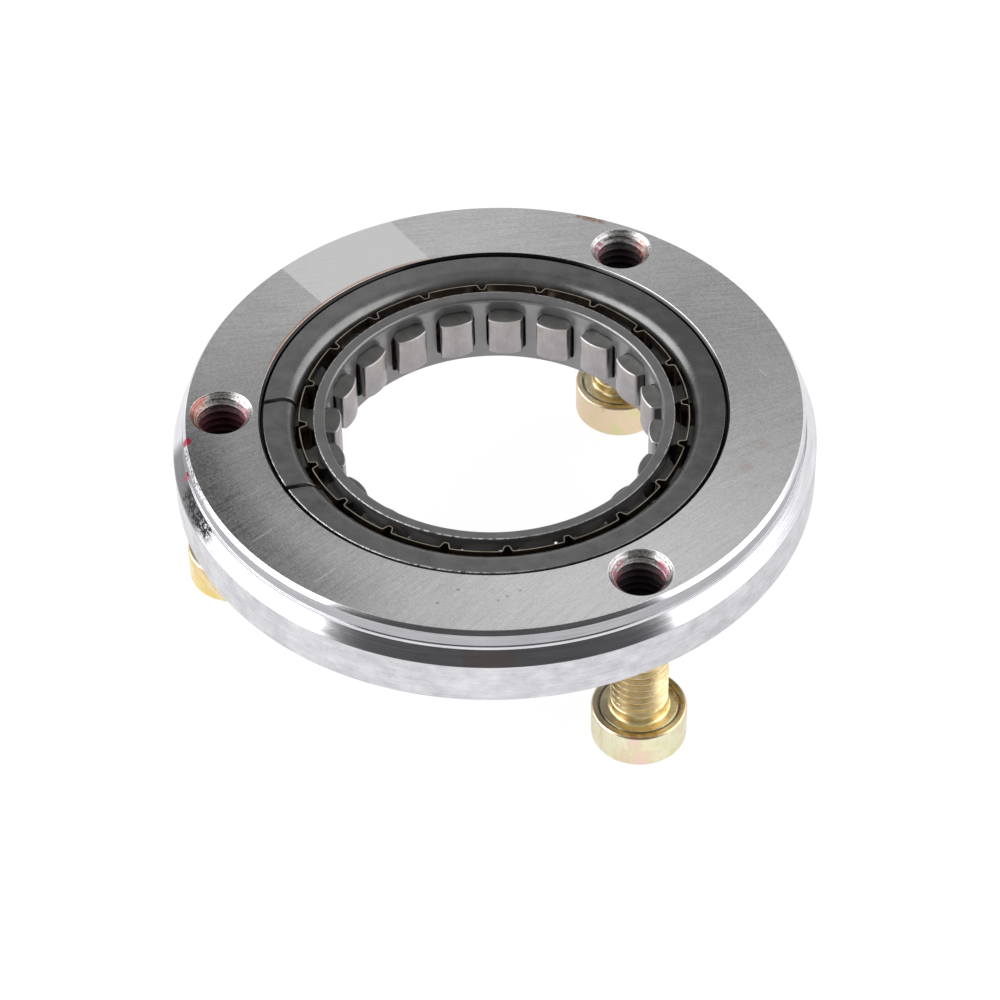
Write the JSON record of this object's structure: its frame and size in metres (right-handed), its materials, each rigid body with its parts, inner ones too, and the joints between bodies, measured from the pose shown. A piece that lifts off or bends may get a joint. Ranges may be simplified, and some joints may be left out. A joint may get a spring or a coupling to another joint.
{
  "type": "sprag clutch",
  "caption": "One-way sprag clutch: a flat machined outer ring with a caged ring of rocking sprags dropped into its bore and socket cap screws started into its tapped holes.",
  "frame": {"origin": "on the clutch axis, in the plane that the screw heads stand on", "axes": "+Z along the clutch axis, from the screw heads towards the flanged side of the sprag insert; +X away from the screw that lies on the -X side"},
  "size_m": [0.09, 0.09, 0.0318],
  "materials": {
    "ring_steel": "ground and turned steel, satin with polished shoulders",
    "cage_steel": "black oxide on pressed steel, satin",
    "inner_cage_steel": "dark phosphated pressed steel, satin",
    "sprag_steel": "hardened steel, smooth",
    "spring_steel": "straw-tempered spring steel, bright edge",
    "zinc_screw": "yellow chromate zinc, iridescent satin"
  },
  "bodies": {
    "outer_ring": {"outer_ring": "ring_steel"},
    "outer_cage": {"outer_cage": "cage_steel", "ribbon_spring": "spring_steel"},
    "inner_cage": {"inner_cage": "inner_cage_steel"},
    "sprag_01": {"sprag_01": "sprag_steel"},
    "sprag_02": {"sprag_02": "sprag_steel"},
    "sprag_03": {"sprag_03": "sprag_steel"},
    "sprag_04": {"sprag_04": "sprag_steel"},
    "sprag_05": {"sprag_05": "sprag_steel"},
    "sprag_06": {"sprag_06": "sprag_steel"},
    "sprag_07": {"sprag_07": "sprag_steel"},
    "sprag_08": {"sprag_08": "sprag_steel"},
    "sprag_09": {"sprag_09": "sprag_steel"},
    "sprag_10": {"sprag_10": "sprag_steel"},
    "sprag_11": {"sprag_11": "sprag_steel"},
    "sprag_12": {"sprag_12": "sprag_steel"},
    "sprag_13": {"sprag_13": "sprag_steel"},
    "sprag_14": {"sprag_14": "sprag_steel"},
    "sprag_15": {"sprag_15": "sprag_steel"},
    "sprag_16": {"sprag_16": "sprag_steel"},
    "sprag_17": {"sprag_17": "sprag_steel"},
    "sprag_18": {"sprag_18": "sprag_steel"},
    "sprag_19": {"sprag_19": "sprag_steel"},
    "sprag_20": {"sprag_20": "sprag_steel"},
    "cap_screw_1": {"cap_screw_1": "zinc_screw"},
    "cap_screw_2": {"cap_screw_2": "zinc_screw"},
    "cap_screw_3": {"cap_screw_3": "zinc_screw"}
  },
  "joints": [
    {"name": "cage_spin", "type": "hinge", "parent": "outer_ring", "child": "outer_cage", "pos_m": [0, 0, 0.026], "axis": [0, 0, 1], "continuous": true},
    {"name": "inner_cage_phase", "type": "hinge", "parent": "outer_cage", "child": "inner_cage", "pos_m": [0, 0, 0.026], "axis": [0, 0, 1], "range_deg": [-1, 0.7], "stiffness_Nm_per_rad": 0.02},
    {"name": "sprag_01_rock", "type": "hinge", "parent": "outer_cage", "child": "sprag_01", "pos_m": [0.02769, 0.00584, 0.025], "axis": [0, 0, 1], "range_deg": [-4.2, 6]},
    {"name": "sprag_02_rock", "type": "hinge", "parent": "outer_cage", "child": "sprag_02", "pos_m": [0.02453, 0.01411, 0.025], "axis": [0, 0, 1], "range_deg": [-4.2, 6]},
    {"name": "sprag_03_rock", "type": "hinge", "parent": "outer_cage", "child": "sprag_03", "pos_m": [0.01897, 0.021, 0.025], "axis": [0, 0, 1], "range_deg": [-4.2, 6]},
    {"name": "sprag_04_rock", "type": "hinge", "parent": "outer_cage", "child": "sprag_04", "pos_m": [0.01156, 0.02583, 0.025], "axis": [0, 0, 1], "range_deg": [-4.2, 6]},
    {"name": "sprag_05_rock", "type": "hinge", "parent": "outer_cage", "child": "sprag_05", "pos_m": [0.00301, 0.02814, 0.025], "axis": [0, 0, 1], "range_deg": [-4.2, 6]},
    {"name": "sprag_06_rock", "type": "hinge", "parent": "outer_cage", "child": "sprag_06", "pos_m": [-0.00584, 0.02769, 0.025], "axis": [0, 0, 1], "range_deg": [-4.2, 6]},
    {"name": "sprag_07_rock", "type": "hinge", "parent": "outer_cage", "child": "sprag_07", "pos_m": [-0.01411, 0.02453, 0.025], "axis": [0, 0, 1], "range_deg": [-4.2, 6]},
    {"name": "sprag_08_rock", "type": "hinge", "parent": "outer_cage", "child": "sprag_08", "pos_m": [-0.021, 0.01897, 0.025], "axis": [0, 0, 1], "range_deg": [-4.2, 6]},
    {"name": "sprag_09_rock", "type": "hinge", "parent": "outer_cage", "child": "sprag_09", "pos_m": [-0.02583, 0.01156, 0.025], "axis": [0, 0, 1], "range_deg": [-4.2, 6]},
    {"name": "sprag_10_rock", "type": "hinge", "parent": "outer_cage", "child": "sprag_10", "pos_m": [-0.02814, 0.00301, 0.025], "axis": [0, 0, 1], "range_deg": [-4.2, 6]},
    {"name": "sprag_11_rock", "type": "hinge", "parent": "outer_cage", "child": "sprag_11", "pos_m": [-0.02769, -0.00584, 0.025], "axis": [0, 0, 1], "range_deg": [-4.2, 6]},
    {"name": "sprag_12_rock", "type": "hinge", "parent": "outer_cage", "child": "sprag_12", "pos_m": [-0.02453, -0.01411, 0.025], "axis": [0, 0, 1], "range_deg": [-4.2, 6]},
    {"name": "sprag_13_rock", "type": "hinge", "parent": "outer_cage", "child": "sprag_13", "pos_m": [-0.01897, -0.021, 0.025], "axis": [0, 0, 1], "range_deg": [-4.2, 6]},
    {"name": "sprag_14_rock", "type": "hinge", "parent": "outer_cage", "child": "sprag_14", "pos_m": [-0.01156, -0.02583, 0.025], "axis": [0, 0, 1], "range_deg": [-4.2, 6]},
    {"name": "sprag_15_rock", "type": "hinge", "parent": "outer_cage", "child": "sprag_15", "pos_m": [-0.00301, -0.02814, 0.025], "axis": [0, 0, 1], "range_deg": [-4.2, 6]},
    {"name": "sprag_16_rock", "type": "hinge", "parent": "outer_cage", "child": "sprag_16", "pos_m": [0.00584, -0.02769, 0.025], "axis": [0, 0, 1], "range_deg": [-4.2, 6]},
    {"name": "sprag_17_rock", "type": "hinge", "parent": "outer_cage", "child": "sprag_17", "pos_m": [0.01411, -0.02453, 0.025], "axis": [0, 0, 1], "range_deg": [-4.2, 6]},
    {"name": "sprag_18_rock", "type": "hinge", "parent": "outer_cage", "child": "sprag_18", "pos_m": [0.021, -0.01897, 0.025], "axis": [0, 0, 1], "range_deg": [-4.2, 6]},
    {"name": "sprag_19_rock", "type": "hinge", "parent": "outer_cage", "child": "sprag_19", "pos_m": [0.02583, -0.01156, 0.025], "axis": [0, 0, 1], "range_deg": [-4.2, 6]},
    {"name": "sprag_20_rock", "type": "hinge", "parent": "outer_cage", "child": "sprag_20", "pos_m": [0.02814, -0.00301, 0.025], "axis": [0, 0, 1], "range_deg": [-4.2, 6]},
    {"name": "cap_screw_1_travel", "type": "slide", "parent": "outer_ring", "child": "cap_screw_1", "axis": [0, 0, 1], "range_m": [-0.00125, 0.01375]},
    {"name": "cap_screw_2_travel", "type": "slide", "parent": "outer_ring", "child": "cap_screw_2", "axis": [0, 0, 1], "range_m": [-0.00125, 0.01375]},
    {"name": "cap_screw_3_travel", "type": "slide", "parent": "outer_ring", "child": "cap_screw_3", "axis": [0, 0, 1], "range_m": [-0.00125, 0.01375]}
  ],
  "couplings": [
    {"joint": "sprag_01_rock", "follows": "inner_cage_phase", "ratio": -5.628},
    {"joint": "sprag_02_rock", "follows": "inner_cage_phase", "ratio": -5.628},
    {"joint": "sprag_03_rock", "follows": "inner_cage_phase", "ratio": -5.628},
    {"joint": "sprag_04_rock", "follows": "inner_cage_phase", "ratio": -5.628},
    {"joint": "sprag_05_rock", "follows": "inner_cage_phase", "ratio": -5.628},
    {"joint": "sprag_06_rock", "follows": "inner_cage_phase", "ratio": -5.628},
    {"joint": "sprag_07_rock", "follows": "inner_cage_phase", "ratio": -5.628},
    {"joint": "sprag_08_rock", "follows": "inner_cage_phase", "ratio": -5.628},
    {"joint": "sprag_09_rock", "follows": "inner_cage_phase", "ratio": -5.628},
    {"joint": "sprag_10_rock", "follows": "inner_cage_phase", "ratio": -5.628},
    {"joint": "sprag_11_rock", "follows": "inner_cage_phase", "ratio": -5.628},
    {"joint": "sprag_12_rock", "follows": "inner_cage_phase", "ratio": -5.628},
    {"joint": "sprag_13_rock", "follows": "inner_cage_phase", "ratio": -5.628},
    {"joint": "sprag_14_rock", "follows": "inner_cage_phase", "ratio": -5.628},
    {"joint": "sprag_15_rock", "follows": "inner_cage_phase", "ratio": -5.628},
    {"joint": "sprag_16_rock", "follows": "inner_cage_phase", "ratio": -5.628},
    {"joint": "sprag_17_rock", "follows": "inner_cage_phase", "ratio": -5.628},
    {"joint": "sprag_18_rock", "follows": "inner_cage_phase", "ratio": -5.628},
    {"joint": "sprag_19_rock", "follows": "inner_cage_phase", "ratio": -5.628},
    {"joint": "sprag_20_rock", "follows": "inner_cage_phase", "ratio": -5.628}
  ]
}
